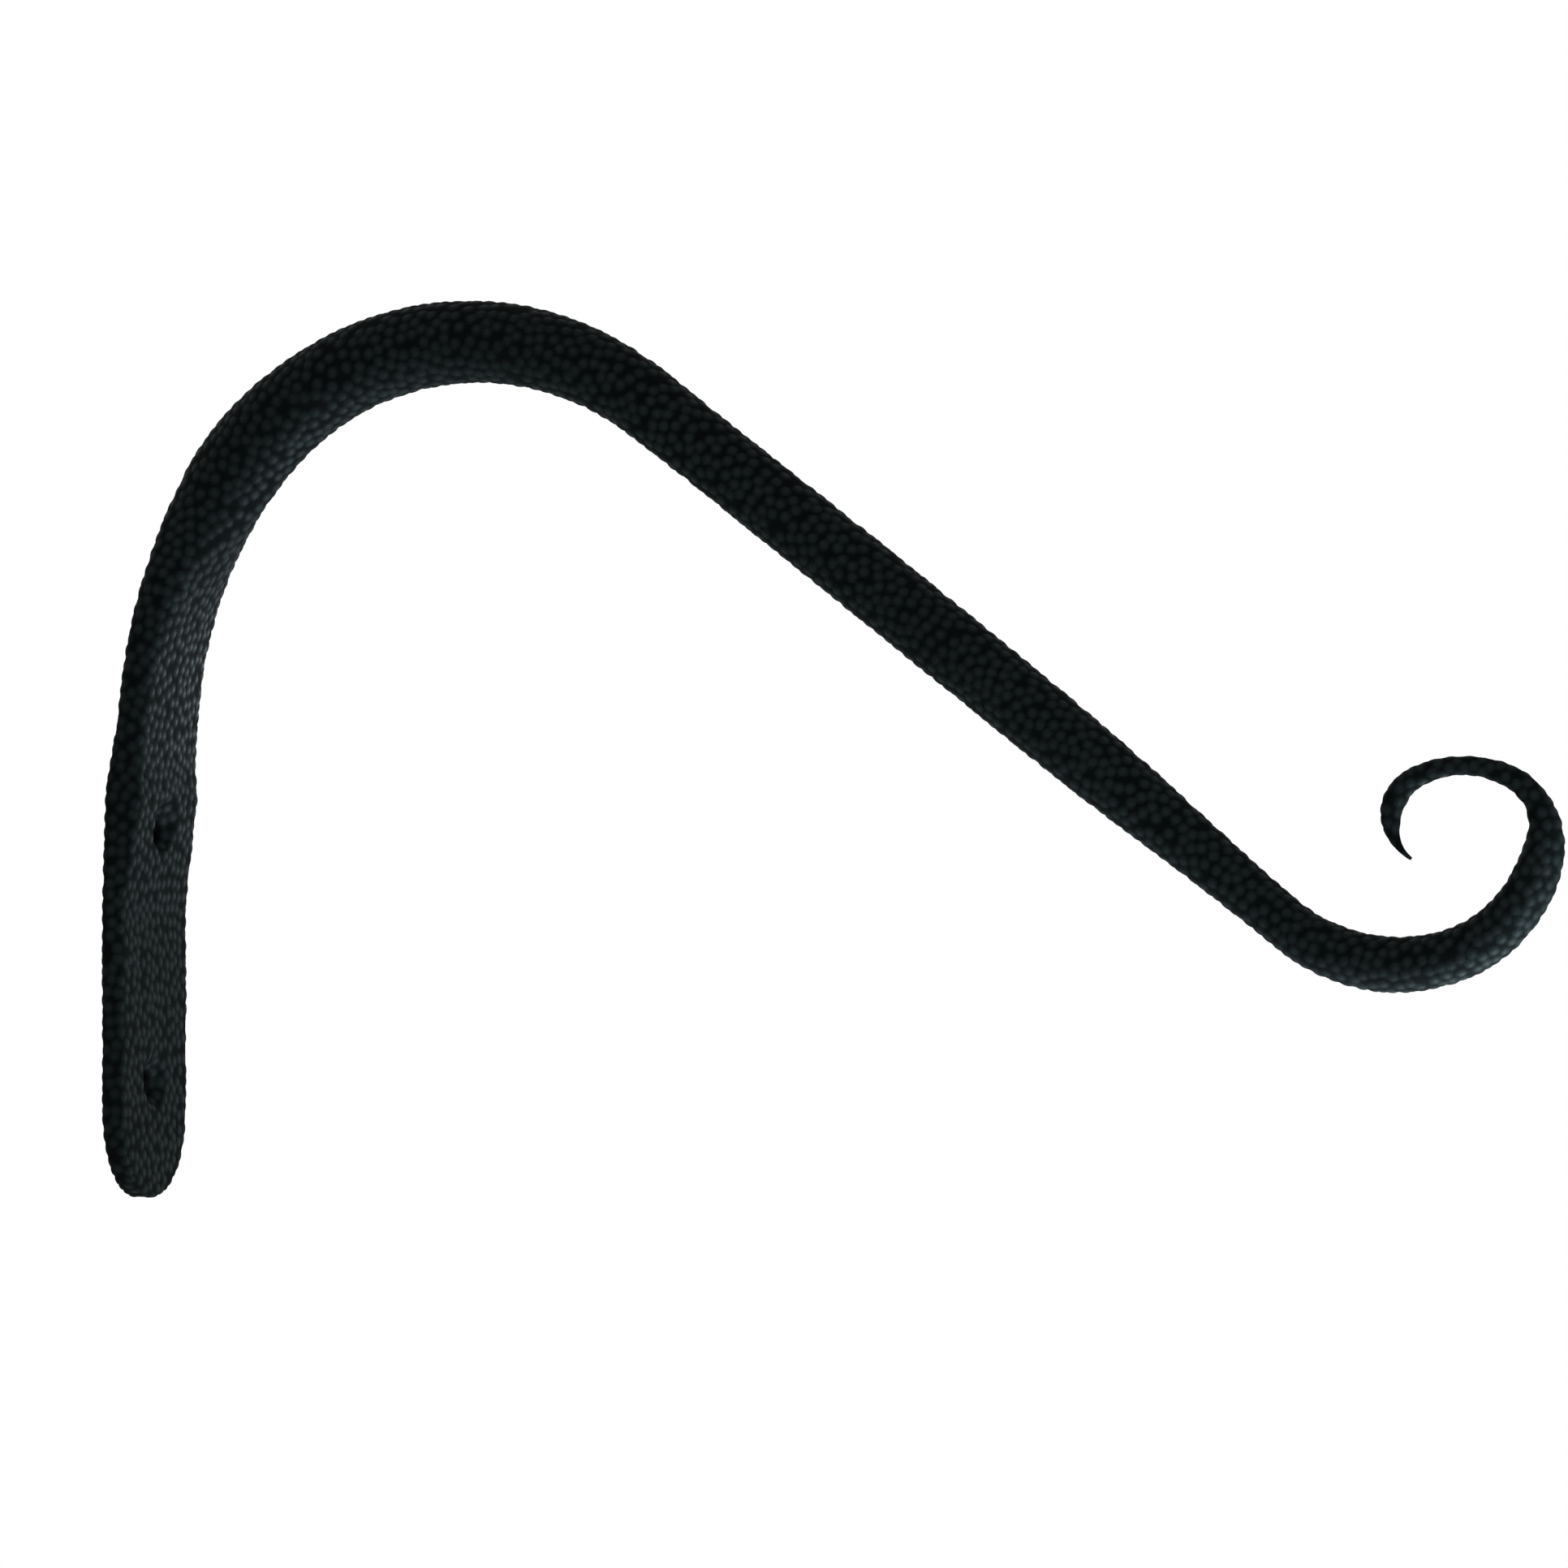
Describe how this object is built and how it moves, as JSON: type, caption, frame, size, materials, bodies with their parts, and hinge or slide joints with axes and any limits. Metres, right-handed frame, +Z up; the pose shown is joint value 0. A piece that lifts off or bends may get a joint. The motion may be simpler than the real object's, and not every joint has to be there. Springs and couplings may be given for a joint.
{
  "type": "curved wall hook",
  "caption": "Forged wall hook: a flat screw pad, a round bar bent over in an arch, a straight falling arm and a scrolled curl to hang a pot or lantern from.",
  "frame": {"origin": "on the wall plane, half way between the two screw holes", "axes": "+X straight out from the wall, +Z up along the wall, +Y along the wall to the right as seen facing it"},
  "size_m": [0.254, 0.0276, 0.1477],
  "materials": {
    "black_coat": "satin"
  },
  "bodies": {
    "root": {"hook": "black_coat"}
  },
  "joints": []
}
